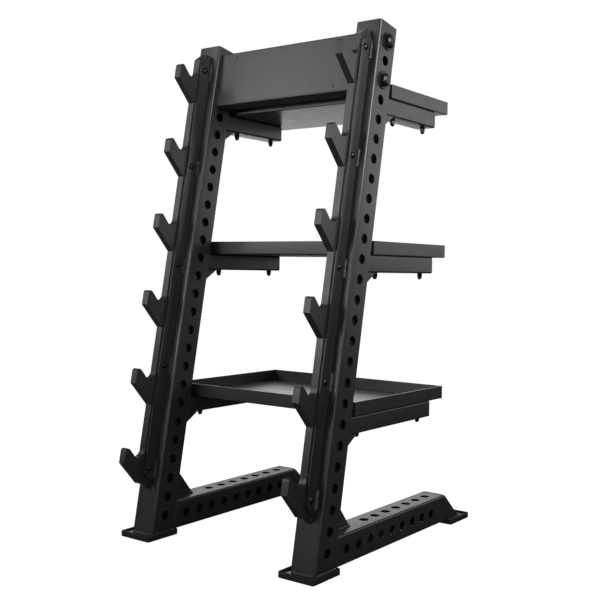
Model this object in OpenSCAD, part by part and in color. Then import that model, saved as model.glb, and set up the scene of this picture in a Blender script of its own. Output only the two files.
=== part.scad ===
// Leaning rack for dumbbells and short bars: two perforated uprights on base legs,
// a hooked plate on the front of each upright, a header across the top and three
// lipped shelf trays on arms behind.
//
// Frame: X runs left to right, Y from front to back, Z up from the floor.
// The origin is on the floor, at the middle of the rack's length and width.

/* [Uprights] */
// Outer width of the square tube of the uprights and legs
tube_w = 75; // [65:1:90]
// Wall thickness of that tube
tube_wall = 3; // [2:0.5:5]
// Outer corner radius of that tube
tube_corner_r = 6; // [5:0.5:9]
// Clear gap between the inner faces of the uprights
upright_gap = 466; // [380:1:700]
// How far the uprights lean back from vertical, in degrees
lean_angle = 10; // [4:1:14]
// Diameter of the holes in the tubes
hole_d = 25; // [15:1:30]
// Distance between neighbouring holes
hole_pitch = 50; // [40:1:60]
// Number of holes in each side of an upright
upright_hole_count = 26; // [20:1:30]
// Distance along the tube from its foot to the lowest hole
first_hole_height = 45; // [35:1:60]
// Distance along the tube from the highest hole to its top
top_margin = 45.5; // [42:0.5:80]
// Thickness of the plate that closes the top of an upright
cap_t = 3; // [2:0.5:6]

/* [Base legs] */
// Distance from the foot of the upright's centre line to the rear end of the leg, at its lower edge
leg_reach = 547; // [500:1:700]
// Least distance from a leg's last hole to its lower rear end
leg_hole_end = 30; // [20:1:48]
// Distance from the foot of the upright's centre line to the first side hole
leg_side_hole_start = 86.5; // [80:0.5:100]
// Distance from the foot of the upright's centre line to the first top hole
leg_top_hole_start = 211.5; // [205:0.5:215]
// Thickness of the gusset between leg and upright
leg_gusset_t = 6; // [4:0.5:10]
// Length of that gusset along the leg
leg_gusset_run = 90.5; // [70:0.5:110]
// Height of that gusset up the upright
leg_gusset_rise = 93; // [70:1:150]
// Blunt end of each welded gusset, left square
gusset_nose = 3; // [2:0.5:8]
// Distance that the sloping end bracket reaches behind the leg's lower edge
bracket_run = 95; // [80:1:110]
// Plate thickness of the sloping end bracket
bracket_t = 4; // [3:0.5:6]

/* [Feet] */
// How far the square steel foot plates stand out beyond the tube on each side
foot_margin = 10.5; // [8:0.5:20]
// Thickness of the foot plates
foot_plate_t = 6; // [4:0.5:10]
// Gap between a foot plate and its rubber boot
foot_fit = 0.5; // [0.2:0.1:1]
// Wall thickness of a rubber boot around its plate
boot_wall = 5; // [3:0.5:8]
// Thickness of a rubber boot under its plate
boot_floor = 4; // [3:0.5:8]
// Height of a rubber boot's rim above the top of its plate
boot_rim = 5; // [2:0.5:8]
// Outer corner radius of a rubber boot
boot_corner_r = 7; // [6:0.5:10]
// Gap between a boot's rim and the steel that passes through it
boot_relief = 1; // [0.5:0.1:2]
// Distance from the upright's centre line back to the front foot's centre
front_foot_offset = -11.5; // [-14:0.5:-6]
// Distance from the leg's lower rear end back to the rear foot's centre
rear_foot_offset = 77.5; // [60:0.5:90]

/* [Hook plates] */
// Thickness of a hook plate
hook_plate_t = 20; // [12:1:26]
// Width of the plate between its hooks, out from the upright
hook_strip_w = 41; // [36:1:60]
// Number of hooks on a plate
hook_count = 6; // [3:1:6]
// Distance between neighbouring hooks
hook_pitch = 207.5; // [150:0.5:215]
// Distance along the upright from its foot to the underside of the lowest hook
first_hook_height = 125; // [120:1:160]
// Distance that a hook's finger stands out beyond the plate
hook_reach = 63.5; // [50:0.5:90]
// Rise of a hook's sloping underside
hook_underside_rise = 51.5; // [30:0.5:70]
// Height of a hook's fingertip above the foot of its underside
hook_height = 91; // [80:0.5:110]
// Radius of the fingertip
hook_tip_r = 8; // [4:0.5:12]
// Radius of the cradle between finger and plate
hook_cradle_r = 20; // [16:0.5:24]
// Height of the cradle's centre above the foot of the hook's underside
hook_cradle_height = 88.5; // [75:0.5:100]
// Length of the plate above the highest fingertip
hook_plate_head = 56.5; // [40:0.5:70]
// Size of the sloping cut at the top of the plate
hook_plate_cut = 22; // [10:1:30]
// Length of the pointed tail below the lowest hook
hook_plate_tail = 15; // [0:1:30]

/* [Hook rails] */
// Thickness of the steel rail that carries a hook plate
rail_t = 5; // [4:0.5:8]
// Width of the rail, out from the upright
rail_w = 36; // [34:0.5:40]
// Size of the sloping cuts at the rail's ends
rail_cut = 18; // [8:1:22]
// Length of rail beyond its end screws
rail_margin = 30; // [25:1:40]
// Number of screws through a rail and its plate
rail_screw_count = 5; // [3:1:5]
// Distance between neighbouring rail screws
rail_screw_pitch = 274; // [180:1:280]
// Distance along the upright from its foot to the lowest rail screw
first_rail_screw = 166; // [155:1:190]
// Distance from the upright's front face to the rail screws
rail_screw_out = 20; // [16:0.5:24]
// Diameter of the rail screws
rail_screw_d = 10; // [6:0.5:12]
// Head diameter of the rail screws
rail_head_d = 17.5; // [14:0.5:20]
// Head height of the rail screws
rail_head_h = 5.5; // [3:0.5:7]
// Width across the flats of the socket in a rail screw's head
rail_socket_af = 6; // [4:0.5:8]
// Depth of that socket
rail_socket_depth = 3.5; // [2:0.5:4]
// How far a rail screw reaches past its nut
rail_screw_end = 2; // [0:0.5:4]
// Width across the flats of the rail screws' nuts
rail_nut_af = 17; // [13:0.5:19]
// Thickness of the rail screws' nuts
rail_nut_t = 8; // [5:0.5:10]
// Length of each weld between rail and upright
weld_length = 50; // [30:1:60]
// Leg of each weld between rail and upright
weld_leg = 6; // [4:0.5:8]

/* [Header] */
// Distance from the header bolts to the header's top and bottom edges
header_bolt_edge = 25; // [22:1:40]
// Depth of the header from front to back
header_depth = 40; // [40:1:60]
// Distance from the header's face back to its bolts, which cross the middle of the uprights
header_bolt_back = 22; // [22:0.5:30]
// Sheet thickness of the header
header_sheet = 3; // [2:0.5:4]
// Inner radius of the header's bends
header_bend_r = 1; // [0.5:0.5:2]
// Thickness of the header's end plates
header_end_t = 6; // [5:0.5:10]
// Thickness of the blank sign plate on the header
sign_t = 1.5; // [1:0.5:3]
// Distance from the header's centre to each sign rivet, across
sign_rivet_x = 172; // [120:1:180]
// Distance from the header's centre to each sign rivet, up and down
sign_rivet_z = 59; // [40:1:60]
// Distance from the sign plate's edges to the header's edges
sign_margin = 4; // [4:0.5:12]
// Corner radius of the sign plate
sign_corner_r = 2; // [1:0.5:6]
// Diameter of the sign rivets' heads
rivet_head_d = 8; // [6:0.5:10]
// Height of the sign rivets' heads
rivet_head_h = 2; // [1.5:0.5:3]
// Diameter of the header bolts
header_bolt_d = 20; // [12:0.5:22]
// Width across the flats of the header bolts' heads and nuts
header_bolt_af = 30; // [19:0.5:32]
// Head height of the header bolts
header_bolt_head = 12.5; // [8:0.5:15]
// Height at which the rounding of a header bolt's head would close
header_bolt_crown = 15; // [15:0.5:20]
// Width of that rounding where the head begins
header_crown_d = 40.5; // [38:0.5:46]
// How far a header bolt reaches past its nut
header_bolt_end = 4; // [0:1:10]
// How far the upper header bolts are turned, in degrees
upper_bolt_turn = 30; // [0:5:60]
// Thickness of the header bolts' nuts
header_nut_t = 16; // [10:0.5:18]
// Outer diameter of the header bolts' washers, outside
header_washer_d = 44; // [36:0.5:50]
// Outer diameter of the header bolts' washers, inside the header
header_inner_washer_d = 36; // [35:0.5:37]
// Thickness of the header bolts' washers
header_washer_t = 3.5; // [2:0.5:4]

/* [Shelves] */
// How far a tray stands out beyond its arms on each side
tray_side_margin = 3.5; // [0:0.5:40]
// Height of a tray's lips, from its underside
tray_lip = 35; // [25:1:60]
// Sheet thickness of the trays
tray_sheet = 3; // [2:0.5:5]
// Outer bend radius along the foot of a tray's lips
tray_bend_r = 3; // [3:0.5:5]
// Gap between an upright's rear face and the tray's front lip, at the rim
tray_gap = 10; // [8:0.5:20]
// Distance from the foot of the upright's centre line to the rear of the trays
tray_rear = 540; // [440:1:560]
// Height of the bottom tray's rim above the floor
bottom_rim_height = 397; // [340:1:440]
// Height of the middle tray's rim above the floor
middle_rim_height = 790; // [700:1:840]
// Height of the top tray's rim above the floor
top_rim_height = 1186; // [1100:1:1190]

/* [Shelf arms] */
// Width of the tube of a shelf arm
arm_w = 60; // [40:1:70]
// Height of the tube of a shelf arm
arm_h = 44; // [30:1:50]
// Wall thickness of that tube
arm_wall = 3; // [2:0.5:4]
// Outer corner radius of that tube
arm_corner_r = 5; // [4:0.5:8]
// Distance from an arm's rear end to the rear of the tray
arm_inset = 62; // [30:1:80]
// Thickness of the plate that closes an arm's rear end
arm_end_t = 3; // [2:0.5:5]
// Thickness of the gussets below an arm
arm_gusset_t = 5; // [3:0.5:8]
// Length of those gussets along the arm
arm_gusset_run = 40; // [25:1:44]
// Depth of those gussets below the arm
arm_gusset_drop = 29; // [20:1:40]
// Diameter of the bolts through tray and arm
tray_bolt_d = 8; // [6:0.5:10]
// Head diameter of those bolts
tray_bolt_head_d = 15; // [12:0.5:18]
// Head height of those bolts
tray_bolt_head_h = 3.5; // [2:0.5:5]
// Distance from a tray's front lip to its front bolts
front_bolt_inset = 56; // [52:1:80]
// Distance from an arm's rear end to its rear bolt
rear_bolt_inset = 16; // [12:1:40]
// Width across the flats of the domed nuts
dome_nut_af = 13; // [10:0.5:17]
// Height of the hexagon of the domed nuts
dome_nut_hex = 9; // [5:0.5:10]
// How much smaller the dome's radius is than half the width across the flats
dome_step = 0.7; // [0.3:0.1:1]
// Height of the straight collar between hexagon and dome
dome_collar = 2; // [1:0.5:3]
// Depth of a domed nut's thread past its bolt's end
dome_thread_room = 1; // [0.5:0.5:2]

/* [Fits] */
// How much wider a bolt's hole is than the bolt
bolt_clearance = 0.6; // [0.4:0.1:2]
// Gap between a cap or end plate and the tube around it
plug_fit = 0.2; // [0.1:0.1:0.5]

/* [Hidden] */
$fn = 48;
// Facets of the large spheres that round the heads
DOME_FN = 64;
SIDES = [["left", -1], ["right", 1]];
SHELVES = ["top", "middle", "bottom"];

// Overshoot of a cutting tool past the face that it cuts
cut = 1;
// A length longer than any piece, for cutting blocks
far = 3000;

// Uprights and legs
x_up = upright_gap / 2 + tube_w / 2;
base_z = boot_floor + foot_plate_t;
top_hole = first_hole_height + (upright_hole_count - 1) * hole_pitch;
upright_len = top_hole + top_margin;
front_n = -tube_w / 2;
rear_n = tube_w / 2;

// Feet
foot_plate_size = tube_w + 2 * foot_margin;
boot_size = foot_plate_size + 2 * foot_fit + 2 * boot_wall;
boot_h = base_z + boot_rim;
rear_foot_y = leg_reach + rear_foot_offset;

// The lowest hook's front corner and the rear boots are the ends of the rack
hook_tip_out = hook_strip_w + hook_reach;
finger_foot = first_hook_height + hook_underside_rise;
y_front_end = (front_n - hook_tip_out) * cos(lean_angle) + finger_foot * sin(lean_angle);
y_rear_end = rear_foot_y + boot_size / 2;
// Where the centre line of an upright meets the underside of the leg
y_up = -(y_front_end + y_rear_end) / 2;

// Hook plates, in the upright's own frame
plate_top = first_hook_height + (hook_count - 1) * hook_pitch + hook_height + hook_plate_head;
rail_bottom = first_rail_screw - rail_margin;
rail_top = first_rail_screw + (rail_screw_count - 1) * rail_screw_pitch + rail_margin;
plate_right = hook_plate_t / 2;
rail_right = plate_right + rail_t;
screw_hole_d = rail_screw_d + bolt_clearance;
rail_screw_heights = [for (i = [0:rail_screw_count - 1]) first_rail_screw + i * rail_screw_pitch];

// How far the cradle's circle bites into the plate and the finger, so that it crosses their edges
cradle_bite = 0.4;
// The straight inner edge of a finger touches the fingertip's circle and grazes the cradle's
cradle_u = hook_strip_w + hook_cradle_r - cradle_bite;
graze_r = hook_cradle_r - cradle_bite;
tip_u = hook_tip_out - hook_tip_r;
tip_v = hook_height - hook_tip_r;
centre_dist = norm([tip_u - cradle_u, tip_v - hook_cradle_height]);
touch_angle = atan2(tip_v - hook_cradle_height, tip_u - cradle_u)
    - acos((graze_r + hook_tip_r) / centre_dist);
touch_dir = [cos(touch_angle), sin(touch_angle)];

// Header, in the upright's own frame
header_mid = top_hole - hole_pitch;
header_front = -header_bolt_back;
header_height = 2 * hole_pitch + 2 * header_bolt_edge;
header_len = upright_gap - 2 * header_end_t;
header_bolt_heights = [top_hole, top_hole - 2 * hole_pitch];
header_hole_d = header_bolt_d + bolt_clearance;

// Shelves
tray_w = 2 * x_up + arm_w + 2 * tray_side_margin;
tray_bolt_hole_d = tray_bolt_d + bolt_clearance;
arm_rear = tray_rear - arm_inset;
dome_r = dome_nut_af / 2 - dome_step;
rear_bolt_y = arm_rear - rear_bolt_inset;

// Height of a shelf's rim above the floor
function rim_z(shelf) =
    shelf == "top" ? top_rim_height : shelf == "middle" ? middle_rim_height : bottom_rim_height;
// Height of a shelf tray's underside
function under_z(shelf) = rim_z(shelf) - tray_lip;
// Distance of the upright's rear face from the foot of its centre line, at a height
function rear_face(z) = (z - base_z) * tan(lean_angle) + rear_n / cos(lean_angle);
// Distance of a tray's front lip from the foot of the upright's centre line
function tray_front(shelf) = rear_face(rim_z(shelf)) + tray_gap;

steel = "#2c2d30";
steel_dark = "#222326";
polymer = "#3a3b3e";
rubber = "#1b1b1c";
bolt_black = "#17181a";

// ---------- shared shapes ----------

// Outline of a rectangle with round corners
module round_rect(w, d, r) {
    square([w - 2 * r, d], center = true);
    square([w, d - 2 * r], center = true);
    for (x = [-1, 1], y = [-1, 1])
        translate([x * (w / 2 - r), y * (d / 2 - r)])
            circle(r);
}

// Rectangular tube along +Z, starting at the origin
module tube(w, d, r, wall, length) {
    linear_extrude(length)
        difference() {
            round_rect(w, d, r);
            round_rect(w - 2 * wall, d - 2 * wall, r - wall);
        }
}

// Places its children in the frame of one upright: Z runs up along the tube
module at_upright(side) {
    translate([side * x_up, y_up, base_z])
        rotate([-lean_angle, 0, 0])
            children();
}

// Places its children at the foot of one upright's centre line, level with the floor
module at_foot(side, z = 0) {
    translate([side * x_up, y_up, z])
        children();
}

// Plate in the YZ plane from its outline, centred on X
module side_plate(t) {
    rotate([90, 0, 90])
        translate([0, 0, -t / 2])
            linear_extrude(t)
                children();
}

// Rod along X, centred
module cross_rod(d, length) {
    rotate([0, 90, 0])
        cylinder(d = d, h = length, center = true);
}

// Hexagon bar along +Z, by the width across its flats
module hex_bar(af, h) {
    cylinder(d = af / cos(30), h = h, $fn = 6);
}

// ---------- uprights and legs ----------

module upright(side) {
    holes = [for (i = [0:upright_hole_count - 1]) first_hole_height + i * hole_pitch];
    color(steel)
    difference() {
        at_upright(side)
            difference() {
                translate([0, 0, -tube_w])
                    tube(tube_w, tube_w, tube_corner_r, tube_wall, upright_len + tube_w);
                for (z = holes)
                    translate([0, 0, z])
                        cross_rod(hole_d, tube_w + 2 * cut);
            }
        // Level cut at the foot
        translate([-far / 2, -far / 2, base_z - far])
            cube([far, far, far]);
    }
}

module upright_cap(side) {
    cap_w = tube_w - 2 * tube_wall - 2 * plug_fit;
    color(steel)
    at_upright(side)
        translate([0, 0, upright_len - cap_t])
            linear_extrude(cap_t)
                round_rect(cap_w, cap_w, tube_corner_r - tube_wall);
}

module base_leg(side) {
    top_lean = tube_w * tan(lean_angle);
    last_hole = leg_reach - leg_hole_end;
    side_holes = [leg_side_hole_start:hole_pitch:last_hole];
    top_holes = [leg_top_hole_start:hole_pitch:last_hole];
    color(steel)
    difference() {
        at_foot(side, base_z + tube_w / 2)
            rotate([-90, 0, 0])
                tube(tube_w, tube_w, tube_corner_r, tube_wall, leg_reach + top_lean);
        // Both ends are cut parallel to the upright
        at_upright(side)
            translate([-far / 2, rear_n - far, -far / 2])
                cube([far, far, far]);
        at_foot(side, base_z)
            translate([0, leg_reach, 0])
                rotate([-lean_angle, 0, 0])
                    translate([-far / 2, 0, -far / 2])
                        cube([far, far, far]);
        for (y = side_holes)
            at_foot(side, base_z + tube_w / 2)
                translate([0, y, 0])
                    cross_rod(hole_d, tube_w + 2 * cut);
        for (y = top_holes)
            at_foot(side, base_z - cut)
                translate([0, y, 0])
                    cylinder(d = hole_d, h = tube_w + 2 * cut);
    }
}

module leg_gusset(side) {
    root = rear_face(base_z + tube_w);
    tip_y = rear_face(base_z + tube_w + leg_gusset_rise);
    color(steel)
    at_foot(side, base_z + tube_w)
        side_plate(leg_gusset_t)
            polygon([
                [root, 0],
                [root + leg_gusset_run, 0],
                [root + leg_gusset_run, gusset_nose],
                [tip_y + gusset_nose, leg_gusset_rise],
                [tip_y, leg_gusset_rise]]);
}

// Outline of the wedge behind a leg's slanted end, shrunk by a wall
module wedge_outline(wall) {
    lean_in = tube_w * tan(lean_angle);
    slope = atan2(tube_w, bracket_run - lean_in);
    drop = wall / cos(slope);
    polygon([
        [0, -cut * sign(wall)],
        [lean_in, tube_w - drop],
        [bracket_run - drop / tan(slope), 0],
        [bracket_run - drop / tan(slope), -cut * sign(wall)]]);
}

module leg_end_bracket(side) {
    color(steel)
    at_foot(side, base_z)
        translate([0, leg_reach, 0])
            difference() {
                side_plate(tube_w)
                    wedge_outline(0);
                translate([0, -cut, 0])
                    side_plate(tube_w - 2 * bracket_t)
                        wedge_outline(bracket_t);
            }
}

// ---------- feet ----------

module foot_plate(side, y) {
    color(steel)
    at_foot(side, boot_floor)
        translate([0, y, 0])
            linear_extrude(foot_plate_t)
                square(foot_plate_size, center = true);
}

// Rubber boot; opening is the side where the rim is cut away for the leg: 1 is behind, -1 in front
module rubber_boot(side, y, opening) {
    inner = foot_plate_size + 2 * foot_fit;
    gap_w = tube_w + 2 * boot_relief;
    color(rubber)
    at_foot(side)
        translate([0, y, 0])
            difference() {
                linear_extrude(boot_h)
                    round_rect(boot_size, boot_size, boot_corner_r);
                translate([0, 0, boot_floor])
                    linear_extrude(boot_h)
                        square(inner, center = true);
                translate([-gap_w / 2, opening > 0 ? 0 : -boot_size, base_z])
                    cube([gap_w, boot_size, boot_h]);
            }
}

// ---------- hook plates and rails ----------

// Outline of one hook: u is the distance out from the upright, v the height
module hook_outline() {
    polygon([
        [0, 0],
        [hook_strip_w, 0],
        [hook_tip_out, hook_underside_rise],
        [hook_tip_out, tip_v],
        [tip_u, tip_v],
        [tip_u - hook_tip_r * touch_dir[0], tip_v - hook_tip_r * touch_dir[1]],
        [cradle_u + graze_r * touch_dir[0], hook_cradle_height + graze_r * touch_dir[1]],
        [cradle_u, hook_cradle_height],
        [0, hook_cradle_height]]);
    translate([tip_u, tip_v])
        circle(hook_tip_r);
}

// Outline of a whole hook plate
module hook_plate_outline() {
    difference() {
        union() {
            polygon([
                [0, first_hook_height - hook_plate_tail],
                [hook_plate_tail, first_hook_height],
                [hook_strip_w, first_hook_height],
                [hook_strip_w, plate_top - hook_plate_cut],
                [hook_strip_w - hook_plate_cut, plate_top],
                [0, plate_top]]);
            for (i = [0:hook_count - 1])
                translate([0, first_hook_height + i * hook_pitch])
                    hook_outline();
        }
        for (i = [0:hook_count - 1])
            translate([cradle_u, first_hook_height + i * hook_pitch + hook_cradle_height])
                circle(hook_cradle_r);
        for (v = rail_screw_heights)
            translate([rail_screw_out, v])
                circle(d = screw_hole_d);
    }
}

// Plate that stands on an upright's front face; x is its right-hand side
module front_fin(side, x, t) {
    at_upright(side)
        translate([x - t, front_n, 0])
            mirror([0, 1, 0])
                rotate([90, 0, 90])
                    linear_extrude(t)
                        children();
}

module hook_plate(side) {
    color(polymer)
    front_fin(side, plate_right, hook_plate_t)
        hook_plate_outline();
}

module hook_rail(side) {
    color(steel)
    front_fin(side, rail_right, rail_t)
        difference() {
            polygon([
                [0, rail_bottom],
                [rail_w - rail_cut, rail_bottom],
                [rail_w, rail_bottom + rail_cut],
                [rail_w, rail_top - rail_cut],
                [rail_w - rail_cut, rail_top],
                [0, rail_top]]);
            for (v = rail_screw_heights)
                translate([rail_screw_out, v])
                    circle(d = screw_hole_d);
        }
}

module rail_welds(side) {
    color(steel)
    for (v = rail_screw_heights)
        at_upright(side)
            translate([rail_right, front_n, v - weld_length / 2])
                intersection() {
                    cylinder(r = weld_leg, h = weld_length);
                    translate([0, -weld_leg, 0])
                        cube([weld_leg, weld_leg, weld_length]);
                }
}

module rail_screws(side) {
    shank = rail_t + hook_plate_t + rail_nut_t + rail_screw_end;
    color(bolt_black)
    for (v = rail_screw_heights)
        at_upright(side)
            translate([rail_right, front_n - rail_screw_out, v])
                rotate([0, 90, 0])
                    difference() {
                        union() {
                            translate([0, 0, -shank])
                                cylinder(d = rail_screw_d, h = shank);
                            button_head(rail_head_d, rail_head_h);
                        }
                        translate([0, 0, rail_head_h - rail_socket_depth])
                            hex_bar(rail_socket_af, rail_head_h);
                    }
}

// Domed screw head on Z = 0
module button_head(d, h) {
    ball_r = (h * h + d * d / 4) / (2 * h);
    intersection() {
        cylinder(d = d, h = h);
        translate([0, 0, h - ball_r])
            sphere(r = ball_r, $fn = DOME_FN);
    }
}

module rail_nuts(side) {
    color(bolt_black)
    for (v = rail_screw_heights)
        at_upright(side)
            translate([plate_right - hook_plate_t, front_n - rail_screw_out, v])
                rotate([0, -90, 0])
                    difference() {
                        hex_bar(rail_nut_af, rail_nut_t);
                        translate([0, 0, -cut])
                            cylinder(d = screw_hole_d, h = rail_nut_t + 2 * cut);
                    }
}

// ---------- header ----------

// Places its children in the leaning frame midway between the uprights
module at_header() {
    translate([0, y_up, base_z])
        rotate([-lean_angle, 0, 0])
            translate([0, 0, header_mid])
                children();
}

module header_channel() {
    color(steel)
    at_header()
        translate([0, header_front, 0])
            rotate([90, 0, 90])
                translate([0, 0, -header_len / 2])
                    linear_extrude(header_len)
                        channel_outline();
}

// Outline of the folded header: a face with a flange behind its top and bottom edges
module channel_outline() {
    outer_r = header_sheet + header_bend_r;
    // The box is so deep that the rear cut removes its rounded rear corners
    box_d = header_depth + outer_r;
    difference() {
        translate([box_d / 2, 0])
            round_rect(box_d, header_height, outer_r);
        translate([box_d / 2, 0])
            round_rect(box_d - 2 * header_sheet, header_height - 2 * header_sheet, header_bend_r);
        translate([box_d / 2, -header_height / 2 + header_sheet])
            square([box_d, header_height - 2 * header_sheet]);
        translate([header_depth, -header_height])
            square([box_d, 2 * header_height]);
    }
}

module header_end_plate(side) {
    color(steel)
    at_header()
        translate([side * (upright_gap / 2 - header_end_t / 2), header_front, 0])
            difference() {
                translate([-header_end_t / 2, 0, -header_height / 2])
                    cube([header_end_t, header_depth, header_height]);
                for (z = header_bolt_heights)
                    translate([0, -header_front, z - header_mid])
                        cross_rod(header_hole_d, header_end_t + 2 * cut);
            }
}

module header_sign_plate() {
    w = header_len - 2 * sign_margin;
    h = header_height - 2 * sign_margin;
    color(steel)
    at_header()
        translate([0, header_front, 0])
            rotate([90, 0, 0])
                linear_extrude(sign_t)
                    round_rect(w, h, sign_corner_r);
}

module sign_rivets() {
    color(steel_dark)
    at_header()
        for (x = [-1, 1], z = [-1, 1])
            translate([x * sign_rivet_x, header_front - sign_t, z * sign_rivet_z])
                rotate([90, 0, 0])
                    button_head(rivet_head_d, rivet_head_h);
}

// Places its children on the outer face of an upright at each header bolt, Z pointing outwards
module at_header_bolts(side) {
    for (z = header_bolt_heights)
        at_upright(side)
            translate([side * tube_w / 2, 0, z])
                rotate([0, side * 90, 0])
                    rotate(z == top_hole ? upper_bolt_turn : 0)
                        children();
}

module header_bolts(side) {
    shank = tube_w + header_end_t + 2 * header_washer_t + header_nut_t + header_bolt_end;
    color(bolt_black)
    at_header_bolts(side)
        translate([0, 0, header_washer_t]) {
            intersection() {
                hex_bar(header_bolt_af, header_bolt_head);
                button_head(header_crown_d, header_bolt_crown);
            }
            translate([0, 0, -shank])
                cylinder(d = header_bolt_d, h = shank + cut);
        }
}

// Flat washer on Z = 0
module washer(d) {
    difference() {
        cylinder(d = d, h = header_washer_t);
        translate([0, 0, -cut])
            cylinder(d = header_hole_d, h = header_washer_t + 2 * cut);
    }
}

module header_washers() {
    inner_face = tube_w + header_end_t;
    color(bolt_black)
    for (s = SIDES)
        at_header_bolts(s[1]) {
            washer(header_washer_d);
            translate([0, 0, -inner_face - header_washer_t])
                washer(header_inner_washer_d);
        }
}

module header_nuts(side) {
    nut_top = tube_w + header_end_t + header_washer_t;
    color(bolt_black)
    at_header_bolts(side)
        translate([0, 0, -nut_top - header_nut_t])
            difference() {
                hex_bar(header_bolt_af, header_nut_t);
                translate([0, 0, -cut])
                    cylinder(d = header_hole_d, h = header_nut_t + 2 * cut);
            }
}

// ---------- shelves ----------

// Places its children at each bolt of a shelf, on the arm's centre line
module at_tray_bolts(shelf) {
    for (s = SIDES, y = [tray_front(shelf) + front_bolt_inset, rear_bolt_y])
        at_foot(s[1], under_z(shelf))
            translate([0, y, 0])
                children();
}

module tray_floor(shelf) {
    front = tray_front(shelf) + tray_sheet;
    depth = tray_rear - tray_sheet - front;
    color(steel)
    difference() {
        translate([-tray_w / 2 + tray_sheet, y_up + front, under_z(shelf)])
            cube([tray_w - 2 * tray_sheet, depth, tray_sheet]);
        at_tray_bolts(shelf)
            translate([0, 0, -cut])
                cylinder(d = tray_bolt_hole_d, h = tray_sheet + 2 * cut);
    }
}

// Cross-section of a lip that stands on the origin: its outer lower edge is rounded by the bend
module lip_profile() {
    translate([0, tray_bend_r])
        square([tray_sheet, tray_lip - tray_bend_r]);
    intersection() {
        translate([tray_bend_r, tray_bend_r])
            circle(tray_bend_r);
        square([tray_sheet, tray_bend_r]);
    }
}

module tray_lips(shelf) {
    front = tray_front(shelf);
    depth = tray_rear - front;
    color(steel)
    translate([0, y_up + front, under_z(shelf)]) {
        // Front and rear lips run the full width
        rotate([90, 0, 90])
            translate([0, 0, -tray_w / 2])
                linear_extrude(tray_w)
                    lip_profile();
        translate([0, depth, 0])
            rotate([90, 0, -90])
                translate([0, 0, -tray_w / 2])
                    linear_extrude(tray_w)
                        lip_profile();
        // Side lips fit between them
        for (x = [-1, 1])
            translate([x * tray_w / 2, x > 0 ? tray_sheet : depth - tray_sheet, 0])
                rotate([90, 0, x > 0 ? 180 : 0])
                    linear_extrude(depth - 2 * tray_sheet)
                        lip_profile();
    }
}

module shelf_arm(shelf, side) {
    z_mid = under_z(shelf) - arm_h / 2;
    color(steel)
    difference() {
        at_foot(side, z_mid)
            rotate([-90, 0, 0])
                tube(arm_w, arm_h, arm_corner_r, arm_wall, arm_rear);
        // The front end is cut to the slope of the upright
        at_upright(side)
            translate([-far / 2, rear_n - far, -far / 2])
                cube([far, far, 2 * far]);
        at_tray_bolts(shelf)
            translate([0, 0, -arm_h - cut])
                cylinder(d = tray_bolt_hole_d, h = arm_h + 2 * cut);
    }
}

module arm_end_plates() {
    inner_r = arm_corner_r - arm_wall;
    inset = 2 * arm_wall + 2 * plug_fit;
    color(steel)
    for (shelf = SHELVES, s = SIDES)
        at_foot(s[1], under_z(shelf) - arm_h / 2)
            translate([0, arm_rear, 0])
                rotate([90, 0, 0])
                    linear_extrude(arm_end_t)
                        round_rect(arm_w - inset, arm_h - inset, inner_r);
}

module arm_gussets(shelf) {
    z_arm = under_z(shelf) - arm_h;
    root = rear_face(z_arm);
    foot = rear_face(z_arm - arm_gusset_drop);
    color(steel)
    for (s = SIDES, x = [-1, 1])
        at_foot(s[1], z_arm)
            translate([x * (arm_w / 2 - arm_gusset_t / 2), 0, 0])
                side_plate(arm_gusset_t)
                    polygon([
                        [root, 0],
                        [root + arm_gusset_run, 0],
                        [foot, -arm_gusset_drop]]);
}

module tray_bolts() {
    shank = tray_sheet + arm_h + dome_nut_hex;
    color(bolt_black)
    for (shelf = SHELVES)
        at_tray_bolts(shelf) {
            translate([0, 0, tray_sheet])
                button_head(tray_bolt_head_d, tray_bolt_head_h);
            translate([0, 0, tray_sheet - shank])
                cylinder(d = tray_bolt_d, h = shank + cut);
        }
}

module tray_dome_nuts() {
    color(bolt_black)
    for (shelf = SHELVES)
        at_tray_bolts(shelf)
            translate([0, 0, -arm_h])
                mirror([0, 0, 1])
                    difference() {
                        union() {
                            hex_bar(dome_nut_af, dome_nut_hex);
                            cylinder(r = dome_r, h = dome_nut_hex + dome_collar);
                            translate([0, 0, dome_nut_hex + dome_collar])
                                sphere(r = dome_r);
                        }
                        translate([0, 0, -cut])
                            cylinder(d = tray_bolt_hole_d, h = dome_nut_hex + cut + dome_thread_room);
                    }
}

// ---------- nodes ----------

for (s = SIDES) {
    upright(s[1]);
    upright_cap(s[1]);
    base_leg(s[1]);
    leg_gusset(s[1]);
    leg_end_bracket(s[1]);
    foot_plate(s[1], front_foot_offset);
    foot_plate(s[1], rear_foot_y);
    rubber_boot(s[1], front_foot_offset, 1);
    rubber_boot(s[1], rear_foot_y, -1);
    hook_plate(s[1]);
    hook_rail(s[1]);
    rail_welds(s[1]);
    rail_screws(s[1]);
    rail_nuts(s[1]);
    header_end_plate(s[1]);
    header_bolts(s[1]);
    header_nuts(s[1]);
}
header_channel();
header_sign_plate();
sign_rivets();
header_washers();
for (shelf = SHELVES) {
    tray_floor(shelf);
    tray_lips(shelf);
    for (s = SIDES)
        shelf_arm(shelf, s[1]);
    arm_gussets(shelf);
}
arm_end_plates();
tray_bolts();
tray_dome_nuts();
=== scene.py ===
"""Finishes, weld beads and studio for a leaning rack of perforated square tube."""

import math

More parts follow.
